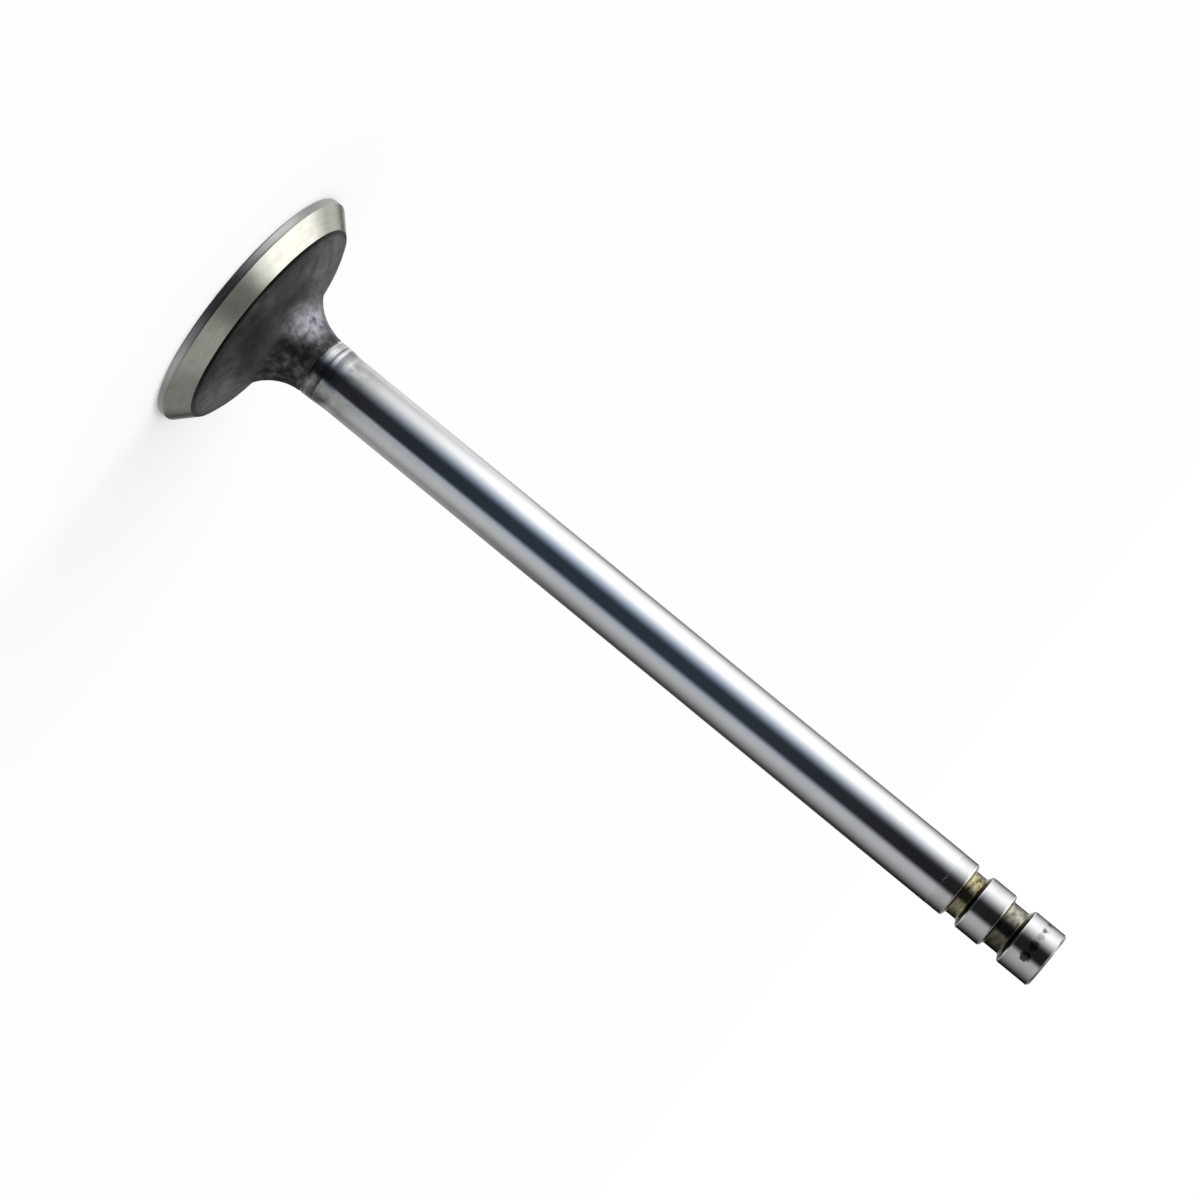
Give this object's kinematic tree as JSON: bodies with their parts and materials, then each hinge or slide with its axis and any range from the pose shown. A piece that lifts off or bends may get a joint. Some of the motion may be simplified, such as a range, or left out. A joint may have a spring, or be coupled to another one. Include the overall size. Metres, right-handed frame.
{
  "type": "engine valve",
  "caption": "Poppet valve of an engine: a mushroom head with a ground conical seat face, a curved neck, a long chromed stem and keeper grooves near its tip.",
  "frame": {"origin": "centre of the flat combustion face, which is the lowest face", "axes": "+Z along the stem, from the head to the tip"},
  "size_m": [0.0355, 0.0354, 0.132],
  "materials": {
    "valve_steel": "ground seat and face, forged dark neck, hard-chromed polished stem"
  },
  "bodies": {
    "root": {"engine_valve": "valve_steel"}
  },
  "joints": []
}
